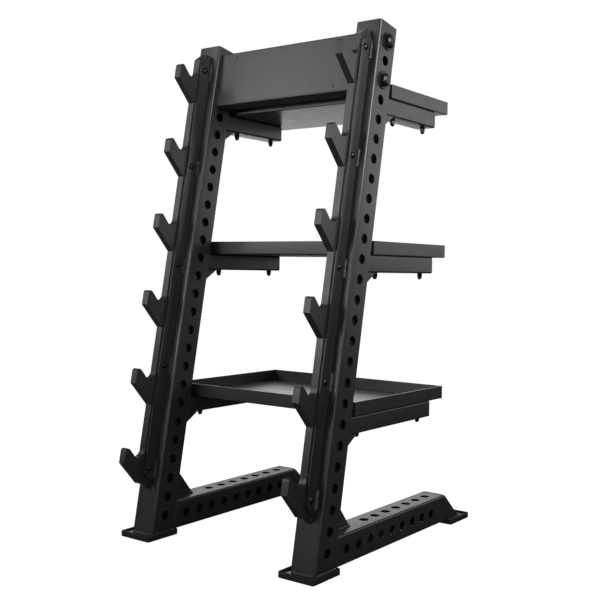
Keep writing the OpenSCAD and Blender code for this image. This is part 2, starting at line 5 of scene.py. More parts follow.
import bmesh
import bpy
import numpy as np
from mathutils import Euler, Matrix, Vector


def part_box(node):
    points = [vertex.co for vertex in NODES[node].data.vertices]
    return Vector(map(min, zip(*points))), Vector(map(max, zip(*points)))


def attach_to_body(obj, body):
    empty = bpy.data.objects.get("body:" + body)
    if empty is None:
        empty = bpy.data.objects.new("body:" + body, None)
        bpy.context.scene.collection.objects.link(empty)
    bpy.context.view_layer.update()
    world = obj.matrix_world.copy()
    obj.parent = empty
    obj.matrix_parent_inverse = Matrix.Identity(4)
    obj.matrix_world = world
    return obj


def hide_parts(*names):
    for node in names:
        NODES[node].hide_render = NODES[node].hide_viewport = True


bl_info = {
    "name": "Dumbbell Rack",
    "version": (1, 0, 0),
    "blender": (4, 5, 0),
    "location": "View3D > Sidebar > Rack",
    "description": "Finishes, weld beads and studio for a leaning dumbbell rack",
    "category": "Object",
}

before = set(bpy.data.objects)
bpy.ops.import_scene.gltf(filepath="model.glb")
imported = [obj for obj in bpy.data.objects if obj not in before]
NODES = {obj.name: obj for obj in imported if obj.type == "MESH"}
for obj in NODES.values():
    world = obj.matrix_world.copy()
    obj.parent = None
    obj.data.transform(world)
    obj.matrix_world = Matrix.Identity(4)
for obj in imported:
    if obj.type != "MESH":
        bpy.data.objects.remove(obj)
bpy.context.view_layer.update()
SIDES = (("left", -1.0), ("right", 1.0))
SHELVES = ("top", "middle", "bottom")
MM = 0.001

# ---------------------------------------------------------------- the rack's own frame

LEAN = math.radians(10.0)
_up_low, _up_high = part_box("upright_right")
TUBE = _up_high.x - _up_low.x
UP_X = (_up_high.x + _up_low.x) / 2
BASE_Z = _up_low.z
# Where an upright's centre line meets the level of its foot
UP_Y = _up_low.y + TUBE / (2 * math.cos(LEAN))
ALONG = np.array([0.0, math.sin(LEAN), math.cos(LEAN)])
REARWARD = np.array([0.0, math.cos(LEAN), -math.sin(LEAN)])
ACROSS = np.array([1.0, 0.0, 0.0])
BACK = np.array([0.0, 1.0, 0.0])
UPWARD = np.array([0.0, 0.0, 1.0])


def on_upright(x, depth, height):
    """Point of the rack from x, the depth behind the tube's centre line and the height along it."""
    foot = np.array([x, UP_Y, BASE_Z])
    return foot + REARWARD * depth + ALONG * height


def rear_face_y(z):
    """Where the uprights' rear faces are at a height z: the lean carries them back as they rise."""
    return UP_Y + (z - BASE_Z) * math.tan(LEAN) + TUBE / (2 * math.cos(LEAN))


# ---------------------------------------------------------------- properties


def colour(name, description, default):
    return bpy.props.FloatVectorProperty(
        name=name, description=description, default=default, size=3, min=0.0, max=1.0, subtype="COLOR"
    )


def length(name, description, default):
    return bpy.props.FloatProperty(
        name=name, description=description, default=default, min=0.0, unit="LENGTH", subtype="DISTANCE"
    )


def factor(name, description, default):
    return bpy.props.FloatProperty(
        name=name, description=description, default=default, min=0.0, max=1.0, subtype="FACTOR"
    )


class RackFinish(bpy.types.PropertyGroup):
    coat: colour("Powder coat", "Colour of the coated steel", (0.0125, 0.0127, 0.0133))
    coat_rough: factor("Coat roughness", "Roughness of the coated steel", 0.48)
    coat_grain: length("Coat grain", "Size of the orange-peel dimples in the coat", 0.0016)
    hook: colour("Hook plate", "Colour of the hook plates", (0.0125, 0.0127, 0.0133))
    hook_rough: factor("Hook roughness", "Roughness of the hook plates", 0.48)
    rubber: colour("Rubber", "Colour of the boots", (0.012, 0.012, 0.0122))
    rubber_rough: factor("Rubber roughness", "Roughness of the boots", 0.62)
    bolt: colour("Fasteners", "Colour of the blackened bolts and nuts", (0.004, 0.004, 0.0042))
    bolt_rough: factor("Fastener roughness", "Roughness of the blackened bolts and nuts", 0.32)


class RackEdges(bpy.types.PropertyGroup):
    tube: length("Tube edges", "Softening of the cut edges and hole rims of the tubes", 0.0006)
    sheet: length("Sheet edges", "Softening of the edges of sheet and thin plate", 0.0007)
    hook: length("Hook plate edges", "Softening of the hook plates' edges", 0.0016)
    boot: length("Boot edges", "Softening of the rubber boots' edges", 0.0014)
    bolt: length("Bolt edges", "Softening of the bolt heads' edges", 0.0006)


class RackWelds(bpy.types.PropertyGroup):
    fillet: length("Fillet leg", "Leg of the fillet welds in the frame", 0.0055)
    rail: length("Rail fillet leg", "Leg of the fillet welds beside the hook rails", 0.006)
    seam: length("Seam half width", "Half width of the flush seams", 0.0042)
    pitch: length("Ripple pitch", "Distance between neighbouring ripples of a bead", 0.0042)
    ripple: factor("Ripple", "Depth of the ripples as a part of the bead's size", 0.13)


class RackStudio(bpy.types.PropertyGroup):
    floor: colour("Floor", "Colour of the floor", (0.12, 0.12, 0.12))
    backdrop: colour("Backdrop", "Colour of the backdrop", (1.0, 1.0, 1.0))
    camera_at: bpy.props.FloatVectorProperty(
        name="Camera",
        description="Place of the camera",
        default=(1.5629, -1.9674, 0.7167),
        size=3,
        subtype="TRANSLATION",
        unit="LENGTH",
    )
    turn: bpy.props.FloatProperty(
        name="Turn", description="Camera's bearing to the right of straight ahead of the rack",
        default=math.radians(34.53), subtype="ANGLE",
    )
    tilt: bpy.props.FloatProperty(
        name="Tilt",
        description="How far the camera looks down",
        default=math.radians(1.863),
        subtype="ANGLE",
    )
    roll: bpy.props.FloatProperty(
        name="Roll", description="How far the camera is rolled", default=math.radians(0.974), subtype="ANGLE"
    )
    lens: bpy.props.FloatProperty(
        name="Lens", description="Focal length in millimetres", default=54.69, min=1.0
    )
    shift: bpy.props.FloatProperty(
        name="Shift", description="Sideways shift of the lens, in widths of the view", default=-0.1067
    )


SETTINGS = {
    "rack_finish": RackFinish,
    "rack_edges": RackEdges,
    "rack_welds": RackWelds,
    "rack_studio": RackStudio,
}

# ---------------------------------------------------------------- shader node groups


def new_group(name, inputs, outputs):
    """An empty shader node group with named float inputs and named outputs."""
    group = bpy.data.node_groups.new(name, "ShaderNodeTree")
    for label, default in inputs:
        socket = group.interface.new_socket(name=label, in_out="INPUT", socket_type="NodeSocketFloat")
        socket.default_value = default
    for label, kind in outputs:
        group.interface.new_socket(name=label, in_out="OUTPUT", socket_type=kind)
    entry = group.nodes.new("NodeGroupInput")
    leave = group.nodes.new("NodeGroupOutput")
    return group, entry, leave


def noise(tree, vector, scale, detail=2.0, rough=0.5):
    """A noise texture on a vector; scale is a number or a socket."""
    node = tree.nodes.new("ShaderNodeTexNoise")
    node.inputs["Detail"].default_value = detail
    node.inputs["Roughness"].default_value = rough
    tree.links.new(vector, node.inputs["Vector"])
    if isinstance(scale, (int, float)):
        node.inputs["Scale"].default_value = scale
    else:
        tree.links.new(scale, node.inputs["Scale"])
    return node.outputs["Fac"]


def maths(tree, operation, first, second=None, third=None):
    """A Math node; each operand is a number or a socket."""
    node = tree.nodes.new("ShaderNodeMath")
    node.operation = operation
    for slot, value in enumerate((first, second, third)):
        if value is None:
            continue
        if isinstance(value, (int, float)):
            node.inputs[slot].default_value = value
        else:
            tree.links.new(value, node.inputs[slot])
    return node.outputs[0]


def remap(tree, value, low, high, to_low, to_high):
    """Maps a value from one range to another and clamps it."""
    node = tree.nodes.new("ShaderNodeMapRange")
    tree.links.new(value, node.inputs["Value"])
    for label, number in (("From Min", low), ("From Max", high), ("To Min", to_low), ("To Max", to_high)):
        if isinstance(number, (int, float)):
            node.inputs[label].default_value = number
        else:
            tree.links.new(number, node.inputs[label])
    return node.outputs["Result"]


def object_space(tree):
    return tree.nodes.new("ShaderNodeTexCoord").outputs["Object"]


# How much finer than the dimples the specks are, and than the drift of tone the smudges of gloss
SPECK_RATIO = 3.7
SMUDGE_RATIO = 4.1
# Parts of each noise's range that are spread over the whole of tone, gloss and the rubbed patches
TONE_RANGE = 0.32, 0.68
GLOSS_RANGE = 0.3, 0.7
PATCH_RANGE = 0.56, 0.72
# Scale of the rubbed patches' noise up the rack against that across it
PATCH_STRETCH = 0.35


def build_surface_group():
    """Dimples and specks of a sprayed or moulded surface.

    Height is a coarse noise, the dimples, plus a finer one, the specks. Tone drifts slowly over the
    piece, and Gloss varies with it a little."""
    group, entry, leave = new_group(
        "fine surface",
        (("Grain Scale", 600.0), ("Speck", 0.35), ("Drift Scale", 5.0)),
        (("Height", "NodeSocketFloat"), ("Tone", "NodeSocketFloat"), ("Gloss", "NodeSocketFloat")),
    )
    where = object_space(group)
    dimples = noise(group, where, entry.outputs["Grain Scale"], detail=2.0, rough=0.45)
    fine_scale = maths(group, "MULTIPLY", entry.outputs["Grain Scale"], SPECK_RATIO)
    specks = noise(group, where, fine_scale, detail=1.0, rough=0.5)
    height = maths(group, "MULTIPLY_ADD", specks, entry.outputs["Speck"], dimples)
    drift = noise(group, where, entry.outputs["Drift Scale"], detail=3.0, rough=0.55)
    smudge_scale = maths(group, "MULTIPLY", entry.outputs["Drift Scale"], SMUDGE_RATIO)
    smudge = noise(group, where, smudge_scale, detail=4.0, rough=0.6)
    group.links.new(height, leave.inputs["Height"])
    group.links.new(remap(group, drift, *TONE_RANGE, 0.0, 1.0), leave.inputs["Tone"])
    group.links.new(remap(group, smudge, *GLOSS_RANGE, 0.0, 1.0), leave.inputs["Gloss"])
    return group


def build_scuff_group():
    """A mask of faint rubbed patches: a stretched noise cut off near its peaks."""
    group, entry, leave = new_group(
        "rubbed patches", (("Scale", 30.0), ("Amount", 0.2)), (("Mask", "NodeSocketFloat"),)
    )
    stretch = group.nodes.new("ShaderNodeMapping")
    stretch.inputs["Scale"].default_value = (1.0, 1.0, PATCH_STRETCH)
    group.links.new(object_space(group), stretch.inputs["Vector"])
    patches = noise(group, stretch.outputs["Vector"], entry.outputs["Scale"], detail=6.0, rough=0.65)
    peaks = remap(group, patches, *PATCH_RANGE, 0.0, 1.0)
    group.links.new(maths(group, "MULTIPLY", peaks, entry.outputs["Amount"]), leave.inputs["Mask"])
    return group


def place_group(tree, group, **values):
    """Puts a node group in a material and sets its inputs; underscores stand for spaces."""
    node = tree.nodes.new("ShaderNodeGroup")
    node.node_tree = group
    for label, value in values.items():
        node.inputs[label.replace("_", " ")].default_value = value
    return node


def mix_colour(tree, mask, dark, light):
    """A colour that goes from dark to light with the mask."""
    node = tree.nodes.new("ShaderNodeMix")
    node.data_type = "RGBA"
    node.inputs[6].default_value = (*dark, 1.0)
    node.inputs[7].default_value = (*light, 1.0)
    tree.links.new(mask, node.inputs[0])
    return node.outputs[2]


def scaled(rgb, by):
    return tuple(min(1.0, c * by) for c in rgb)


# How far a finish's tone and gloss stray from their middle, and how much rubbing polishes it
TONE_SPREAD = 0.14
GLOSS_SPREAD = 0.035
RUBBED_POLISH = -0.12
RUBBED_SCALE = 26.0
# Height of the dimples as a part of their width, and the lacquer's roughness as a part of the skin's
DIMPLE_DEPTH = 0.12
LACQUER_SHARE = 0.5


def coated_material(name, rgb, rough, grain, speck, bump, drift=5.0, scuff=0.18, specular=0.5, lacquer=0.0):
    """A satin or matt skin: dimpled bump, slow drift of tone, gloss that varies and faint rubbed patches."""
    material = bpy.data.materials.new(name)
    material.use_nodes = True
    tree = material.node_tree
    shader = tree.nodes["Principled BSDF"]
    surface = place_group(
        tree, bpy.data.node_groups["fine surface"], Grain_Scale=1.0 / grain, Speck=speck, Drift_Scale=drift
    )
    rubbed = place_group(tree, bpy.data.node_groups["rubbed patches"], Scale=RUBBED_SCALE, Amount=scuff)
    tint = maths(tree, "ADD", surface.outputs["Tone"], rubbed.outputs["Mask"])
    tree.links.new(
        mix_colour(tree, tint, scaled(rgb, 1.0 - TONE_SPREAD), scaled(rgb, 1.0 + TONE_SPREAD)),
        shader.inputs["Base Color"],
    )
    gloss = remap(tree, surface.outputs["Gloss"], 0.0, 1.0, rough - GLOSS_SPREAD, rough + GLOSS_SPREAD)
    polished = maths(tree, "MULTIPLY_ADD", rubbed.outputs["Mask"], RUBBED_POLISH, gloss)
    tree.links.new(polished, shader.inputs["Roughness"])
    shader.inputs["Specular IOR Level"].default_value = specular
    shader.inputs["Coat Weight"].default_value = lacquer
    shader.inputs["Coat Roughness"].default_value = rough * LACQUER_SHARE
    bumps = tree.nodes.new("ShaderNodeBump")
    bumps.inputs["Strength"].default_value = bump
    bumps.inputs["Distance"].default_value = grain * DIMPLE_DEPTH
    tree.links.new(surface.outputs["Height"], bumps.inputs["Height"])
    tree.links.new(bumps.outputs["Normal"], shader.inputs["Normal"])
    return material


def attach(piece, material):
    """Gives a new piece its finish and makes it ride on the rack."""
    dress(piece, material)
    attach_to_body(piece, "root")


def dress(thing, material):
    """Gives every face of an object one material."""
    mesh = thing.data
    mesh.materials.clear()
    mesh.materials.append(material)


# ---------------------------------------------------------------- pieces made from the steelwork


# A corner that turns more than EDGE_ANGLE is a real edge, and faces that turn less than FLAT are one
EDGE_ANGLE = math.radians(28.0)
FLAT = math.radians(0.6)
# Points of a copy nearer to each other than this are one
MERGE = 0.01 * MM


def softened(nodes, width, material, segments=2):
    """Copies of CAD nodes whose sharp edges are rounded, each standing for its node.

    A copy's loose triangles are merged and its flat areas are dissolved into whole faces, so that the
    bevel runs only along the real edges."""
    pieces = []
    for name in nodes:
        mesh = NODES[name].data.copy()
        mesh.name = name + ".soft"
        work = bmesh.new()
        work.from_mesh(mesh)
        bmesh.ops.remove_doubles(work, verts=work.verts, dist=MERGE)
        bmesh.ops.dissolve_limit(
            work, angle_limit=FLAT, use_dissolve_boundaries=False, verts=work.verts, edges=work.edges
        )
        for face in work.faces:
            face.smooth = True
        work.to_mesh(mesh)
        work.free()
        if mesh.has_custom_normals:
            mesh.attributes.remove(mesh.attributes["custom_normal"])
        mesh.set_sharp_from_angle(angle=EDGE_ANGLE)
        piece = bpy.data.objects.new(name + ".soft", mesh)
        bpy.context.scene.collection.objects.link(piece)
        bevel = piece.modifiers.new("soft edges", "BEVEL")
        bevel.width = width
        bevel.segments = segments
        bevel.limit_method = "ANGLE"
        bevel.angle_limit = EDGE_ANGLE
        bevel.use_clamp_overlap = True
        bevel.harden_normals = True
        attach(piece, material)
        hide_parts(name)
        pieces.append(piece)
    return pieces


# Points of a bead nearer to each other than this are one, which closes its tapered ends
POINT_GAP = 0.002 * MM


def mesh_object(name, points, faces, material):
    """A smooth-shaded object from its points and faces, riding on the rack."""
    mesh = bpy.data.meshes.new(name)
    mesh.from_pydata(points.tolist(), [], faces.tolist())
    work = bmesh.new()
    work.from_mesh(mesh)
    bmesh.ops.remove_doubles(work, verts=work.verts, dist=POINT_GAP)
    bmesh.ops.recalc_face_normals(work, faces=work.faces)
    for face in work.faces:
        face.smooth = True
    work.to_mesh(mesh)
    work.free()
    thing = bpy.data.objects.new(name, mesh)
    bpy.context.scene.collection.objects.link(thing)
    attach(thing, material)
    return thing


# Stations of a bead for each ripple, and points round its arc
STATIONS = 7
FEWEST_STATIONS = 12
ARC_POINTS = 9
# How far the ripples lag at the edges of a bead, in pitches
LAG = 0.55
# Two slow waves in a bead's size: part of the size, and turns (in radians) for each pitch
SLOW_WAVE = 0.06, 0.9
LONG_WAVE = 0.05, 0.37
LONG_PHASE = 2.1
# Shift of the ripples from one bead to the next, in radians
NEXT_PHASE = 1.7


def bead_grid(start, end, first, second, size, pitch, ripple, flush=False, sink=0.25, phase=0.0, rise=0.22):
    """Points and faces of one weld bead laid from start to end.

    The cross-section is an arc from the direction first to the direction second. A fillet's arc turns
    through a right angle at the radius size / (cos t + sin t), swollen a little in its middle. A flush
    seam's arc is half an ellipse whose height is a part of its width. Along the bead the radius is
    multiplied by one plus a ripple, a cosine of the distance over the pitch, which lags towards the
    arc's ends so that the ripples are crescents, and it falls to nothing over one radius at each end.
    The loop is closed by a point sunk into the steel."""
    start, end = np.asarray(start, float), np.asarray(end, float)
    run = np.linalg.norm(end - start)
    steps = max(FEWEST_STATIONS, int(run / pitch * STATIONS))
    s = np.linspace(0.0, run, steps)[:, None]
    if flush:
        t = np.linspace(0.0, math.pi, ARC_POINTS)[None, :]
        across, out = np.cos(t), np.sin(t) * rise
        swell = np.sin(t)
    else:
        t = np.linspace(0.0, math.pi / 2, ARC_POINTS)[None, :]
        flat = (1.0 + rise * np.sin(2 * t)) / (np.cos(t) + np.sin(t))
        across, out = np.cos(t) * flat, np.sin(t) * flat
        swell = np.sin(2 * t)
    slow = SLOW_WAVE[0] * np.sin(s / pitch * SLOW_WAVE[1] + phase)
    wander = slow + LONG_WAVE[0] * np.sin(s / pitch * LONG_WAVE[1] + LONG_PHASE * phase)
    crescent = np.cos(2 * math.pi * (s + LAG * pitch * swell) / pitch + phase)
    edge = np.clip(np.minimum(s, run - s) / size, 0.0, 1.0)
    taper = np.sqrt(1.0 - (1.0 - edge) ** 2)
    radius = size * taper * (1.0 + wander + ripple * crescent)
    line = start[None, :] + (end - start)[None, :] * s / run
    skin = (
        line[:, None, :]
        + (radius * across)[:, :, None] * np.asarray(first)[None, None, :]
        + (radius * out)[:, :, None] * np.asarray(second)[None, None, :]
    )
    if flush:
        inward = -np.asarray(second) * sink * size * taper
    else:
        inward = -(np.asarray(first) + np.asarray(second)) * sink * size * taper
    root = line[:, None, :] + inward[:, None, :]
    loop = np.concatenate([skin, root], axis=1)
    count = ARC_POINTS + 1
    ring = np.arange(steps - 1)[:, None] * count
    turn = np.arange(count)[None, :]
    follow = (turn + 1) % count
    faces = np.stack([ring + turn, ring + follow, ring + count + follow, ring + count + turn], axis=-1)
    return loop.reshape(-1, 3), faces.reshape(-1, 4)


def weld_beads(name, beads, material):
    """One object from many beads; each bead is a dictionary of bead_grid's arguments."""
    welds = bpy.context.scene.rack_welds
    points, faces, offset = [], [], 0
    for number, bead in enumerate(beads):
        settings = {"size": welds.fillet, "pitch": welds.pitch, "ripple": welds.ripple}
        settings.update(bead, phase=number * NEXT_PHASE)
        grid, quads = bead_grid(**settings)
        points.append(grid)
        faces.append(quads + offset)
        offset += len(grid)
    return mesh_object(name, np.concatenate(points), np.concatenate(faces), material)


# ---------------------------------------------------------------- operators


class RACK_OT_finishes(bpy.types.Operator):
    """Builds the finishes and gives every steel, rubber and plastic piece its own"""

    bl_idname = "rack.finishes"
    bl_label = "Finishes"

    def execute(self, context):
        look = context.scene.rack_finish
        build_surface_group()
        build_scuff_group()
        coat = coated_material(
            "satin black powder coat",
            look.coat,
            look.coat_rough,
            grain=look.coat_grain,
            speck=0.35,
            bump=0.35,
            lacquer=0.3,
        )
        hook = coated_material(
            "hook plate polymer",
            look.hook,
            look.hook_rough,
            grain=1.2 * MM,
            speck=0.5,
            bump=0.3,
            drift=9.0,
            lacquer=0.25,
        )
        rubber = coated_material(
            "boot rubber",
            look.rubber,
            look.rubber_rough,
            grain=0.9 * MM,
            speck=0.6,
            bump=0.5,
            drift=14.0,
            scuff=0.5,
            specular=0.4,
        )
        bolt = coated_material(
            "blackened fasteners",
            look.bolt,
            look.bolt_rough,
            grain=0.7 * MM,
            speck=0.3,
            bump=0.16,
            drift=30.0,
            scuff=0.3,
            specular=0.3,
        )
        for name, node in NODES.items():
            if "boot" in name:
                dress(node, rubber)
            elif name.startswith("hook_plate"):
                dress(node, hook)
            elif any(word in name for word in ("screws", "bolts", "nuts", "washers")):
                dress(node, bolt)
            else:
                dress(node, coat)
        return {"FINISHED"}


def material_of(name):
    return bpy.data.materials[name]


# Shares of the usual softening that the header's thin sheet and the small domed nuts keep
THIN_SHARE = 0.8
DOME_SHARE = 0.6


class RACK_OT_uprights(bpy.types.Operator):
    """Softens the cut ends and hole rims of the uprights, and their caps"""

    bl_idname = "rack.uprights"
    bl_label = "Uprights"

    def execute(self, context):
        edges = context.scene.rack_edges
        coat = material_of("satin black powder coat")
        softened([f"upright_{side}" for side, _ in SIDES], edges.tube, coat)
        softened([f"upright_cap_{side}" for side, _ in SIDES], edges.sheet, coat)
        return {"FINISHED"}


class RACK_OT_base(bpy.types.Operator):
    """Softens the legs, their gussets and end brackets, the foot plates and the rubber boots"""

    bl_idname = "rack.base"
    bl_label = "Base"

    def execute(self, context):
        edges = context.scene.rack_edges
        coat = material_of("satin black powder coat")
        softened([f"base_leg_{side}" for side, _ in SIDES], edges.tube, coat)
        thin = ("leg_gusset", "leg_end_bracket", "front_foot_plate", "rear_foot_plate")
        softened([f"{piece}_{side}" for piece in thin for side, _ in SIDES], edges.sheet, coat)
        boots = [f"{end}_rubber_boot_{side}" for end in ("front", "rear") for side, _ in SIDES]
        softened(boots, edges.boot, material_of("boot rubber"))
        return {"FINISHED"}


class RACK_OT_hooks(bpy.types.Operator):
    """Softens the hook plates and the rails that carry them"""

    bl_idname = "rack.hooks"
    bl_label = "Hook plates and rails"

    def execute(self, context):
        edges = context.scene.rack_edges
        plates = [f"hook_plate_{side}" for side, _ in SIDES]
        rails = [f"hook_rail_{side}" for side, _ in SIDES]
        softened(plates, edges.hook, material_of("hook plate polymer"), segments=3)
        softened(rails, edges.sheet, material_of("satin black powder coat"))
        return {"FINISHED"}


class RACK_OT_header(bpy.types.Operator):
    """Softens the header, its blank sign plate and its bolts"""

    bl_idname = "rack.header"
    bl_label = "Header"

    def execute(self, context):
        edges = context.scene.rack_edges
        coat = material_of("satin black powder coat")
        ends = [f"header_end_plate_{side}" for side, _ in SIDES]
        softened(["header_channel", "header_sign_plate", *ends], edges.sheet * THIN_SHARE, coat)
        bolts = [f"header_{part}_{side}" for part in ("bolts", "nuts") for side, _ in SIDES]
        softened([*bolts, "header_washers"], edges.bolt, material_of("blackened fasteners"))
        return {"FINISHED"}


class RACK_OT_shelves(bpy.types.Operator):
    """Softens the trays, their arms and the gussets under them"""

    bl_idname = "rack.shelves"
    bl_label = "Shelves"

    def execute(self, context):
        edges = context.scene.rack_edges
        coat = material_of("satin black powder coat")
        trays = [f"{part}_{shelf}" for part in ("tray_lips", "arm_gussets") for shelf in SHELVES]
        softened([*trays, "arm_end_plates"], edges.sheet, coat)
        arms = [f"shelf_arm_{shelf}_{side}" for shelf in SHELVES for side, _ in SIDES]
        softened(arms, edges.tube, coat)
        softened(["tray_dome_nuts"], edges.bolt * DOME_SHARE, material_of("blackened fasteners"))
        return {"FINISHED"}


# Number and length of the welds beside each hook rail
RAIL_WELDS = 5
RAIL_WELD_RUN = 50 * MM


class RACK_OT_rail_welds(bpy.types.Operator):
    """Lays the short fillets that hold the hook rails to the uprights"""

    bl_idname = "rack.rail_welds"
    bl_label = "Rail welds"

    def execute(self, context):
        welds = context.scene.rack_welds
        coat = material_of("satin black powder coat")
        for side, _ in SIDES:
            low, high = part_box(f"rail_welds_{side}")
            front = -TUBE / 2
            # The lowest and highest welds end at the box's corners; the others are spread evenly
            bottom = (low.z - BASE_Z + front * math.sin(LEAN)) / math.cos(LEAN)
            top = (high.z - BASE_Z + (front - welds.rail) * math.sin(LEAN)) / math.cos(LEAN)
            starts = np.linspace(bottom, top - RAIL_WELD_RUN, RAIL_WELDS)
            beads = []
            for start in starts:
                beads.append({
                    "start": on_upright(low.x, front, start),
                    "end": on_upright(low.x, front, start + RAIL_WELD_RUN),
                    "first": ACROSS, "second": -REARWARD, "size": welds.rail, "rise": 0.3,
                })
            piece = weld_beads(f"rail_weld_beads_{side}", beads, coat)
            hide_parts(f"rail_welds_{side}")
        return {"FINISHED"}


# Welds across a tube's face stop short of its rounded corners
TUBE_CORNER = 6 * MM
# The seams between leg and upright: how far behind the upright they lie, how deep in the tube's side,
# how far their ends stay from the foot and the top, and the pitch of their ripples
SEAM_GROOVE = 1.2 * MM
SEAM_SUNK = 0.2 * MM
SEAM_INSET = 7 * MM
SEAM_PITCH = 5.5 * MM
# The gusset's fillets on the leg: how far behind its front end they start, how far they run past its
# rear end, and how far above the joint those on the upright start
GUSSET_START = 6 * MM
GUSSET_PAST = 2 * MM
GUSSET_RISE = 5 * MM
# The bracket's side seams: how deep they lie and how far they stay from its foot and its top
BRACKET_SUNK = 0.3 * MM
BRACKET_FOOT = 4 * MM
BRACKET_TOP = 3 * MM
# Share of the side seams' width that the seam over the bracket's top has
RIDGE_SHARE = 0.8
# Beads on the foot plates: before the upright, beside it and the bracket, and behind the bracket
FRONT_BEAD = 6.5 * MM
SIDE_BEAD = 5.5 * MM
REAR_BEAD = 5 * MM
# How far the side beads start behind the upright's front face and end before the bracket's back
SIDE_START = 6 * MM
SIDE_END = 2 * MM


class RACK_OT_base_welds(bpy.types.Operator):
    """Lays the welds of the uprights' feet, the legs, their gussets and end brackets"""

    bl_idname = "rack.base_welds"
    bl_label = "Base welds"

    def execute(self, context):
        coat = material_of("satin black powder coat")
        seam = context.scene.rack_welds.seam
        half = TUBE / 2
        flat = half - TUBE_CORNER
        for side, sign in SIDES:
            x = sign * UP_X
            beads = []
            leg_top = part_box(f"base_leg_{side}")[1].z
            # Flush seams up both sides of the joint between leg and upright
            height = (leg_top - BASE_Z) / math.cos(LEAN)
            for face in (-1.0, 1.0):
                at = x + face * (half - SEAM_SUNK)
                beads.append({
                    "start": on_upright(at, half + SEAM_GROOVE, SEAM_INSET + half * math.tan(LEAN)),
                    "end": on_upright(at, half + SEAM_GROOVE, height + half * math.tan(LEAN) - SEAM_INSET),
                    "first": REARWARD, "second": ACROSS * face, "size": seam, "flush": True, "sink": 1.3,
                    "rise": 0.34, "ripple": 0.24, "pitch": SEAM_PITCH,
                })
            # Fillets on top of the leg across the upright's rear face, left and right of the gusset
            gusset_low, gusset_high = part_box(f"leg_gusset_{side}")
            joint = (leg_top - BASE_Z + half * math.sin(LEAN)) / math.cos(LEAN)
            for near, far in ((-flat, gusset_low.x - x), (gusset_high.x - x, flat)):
                beads.append({
                    "start": on_upright(x + near, half, joint), "end": on_upright(x + far, half, joint),
                    "first": BACK, "second": ALONG,
                })
            # Fillets along both sides of the gusset, on the leg and on the upright
            for face, at in ((-1.0, gusset_low.x), (1.0, gusset_high.x)):
                beads.append({
                    "start": (at, gusset_low.y + GUSSET_START, leg_top),
                    "end": (at, gusset_high.y + GUSSET_PAST, leg_top),
                    "first": ACROSS * face, "second": UPWARD,
                })
                reach = (gusset_high.z - BASE_Z + half * math.sin(LEAN)) / math.cos(LEAN)
                beads.append({
                    "start": on_upright(at, half, joint + GUSSET_RISE), "end": on_upright(at, half, reach),
                    "first": ACROSS * face, "second": REARWARD,
                })
            # Seams between the leg's slanted end and the bracket: up both sides and over the top
            bracket_low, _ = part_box(f"leg_end_bracket_{side}")
            foot = np.array([0.0, bracket_low.y, BASE_Z])
            length_up = (leg_top - BASE_Z) / math.cos(LEAN)
            for face in (-1.0, 1.0):
                base = foot + ACROSS * (x + face * (half - BRACKET_SUNK))
                beads.append({
                    "start": base + ALONG * BRACKET_FOOT, "end": base + ALONG * (length_up - BRACKET_TOP),
                    "first": BACK, "second": ACROSS * face, "size": seam, "flush": True, "sink": 0.8,
                    "rise": 0.36, "ripple": 0.2,
                })
            ridge = foot + ALONG * length_up
            beads.append({
                "start": ridge + ACROSS * (x - flat), "end": ridge + ACROSS * (x + flat),
                "first": BACK, "second": UPWARD, "size": seam * RIDGE_SHARE, "flush": True, "sink": 0.8,
                "rise": 0.3,
            })
            # Fillets round the foot of the upright and beside the bracket, on the foot plates
            front = UP_Y - half / math.cos(LEAN)
            back = UP_Y + half / math.cos(LEAN)
            beads.append({
                "start": (x - flat, front, BASE_Z), "end": (x + flat, front, BASE_Z),
                "first": -BACK, "second": UPWARD, "size": FRONT_BEAD,
            })
            _, front_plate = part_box(f"front_foot_plate_{side}")
            rear_plate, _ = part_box(f"rear_foot_plate_{side}")
            _, bracket_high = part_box(f"leg_end_bracket_{side}")
            for face in (-1.0, 1.0):
                at = x + face * half
                beads.append({
                    "start": (at, front + SIDE_START, BASE_Z),
                    "end": (at, min(back, front_plate.y), BASE_Z),
                    "first": ACROSS * face, "second": UPWARD, "size": SIDE_BEAD,
                })
                beads.append({
                    "start": (at, rear_plate.y, BASE_Z), "end": (at, bracket_high.y - SIDE_END, BASE_Z),
                    "first": ACROSS * face, "second": UPWARD, "size": SIDE_BEAD,
                })
            beads.append({
                "start": (x - half, bracket_high.y, BASE_Z), "end": (x + half, bracket_high.y, BASE_Z),
                "first": BACK, "second": UPWARD, "size": REAR_BEAD,
            })
            weld_beads(f"base_weld_beads_{side}", beads, coat)
        return {"FINISHED"}


# Thickness of a tray's sheet
TRAY_SHEET = 3 * MM
# Sizes of the beads on the arms and in the tray corners
ARM_BEAD = 4.5 * MM
TRAY_BEAD = 2.6 * MM
# How far the beads on an arm's sides stay from its top and bottom, and the one under it from its sides
ARM_SIDE_INSET = 5 * MM
ARM_FOOT_INSET = 8 * MM
# How far the side beads' two ends are shifted towards each other, front to back
ARM_FACE_INSET = 0.8 * MM
# How far a corner bead ends below the lip's rim
LIP_INSET = 2 * MM


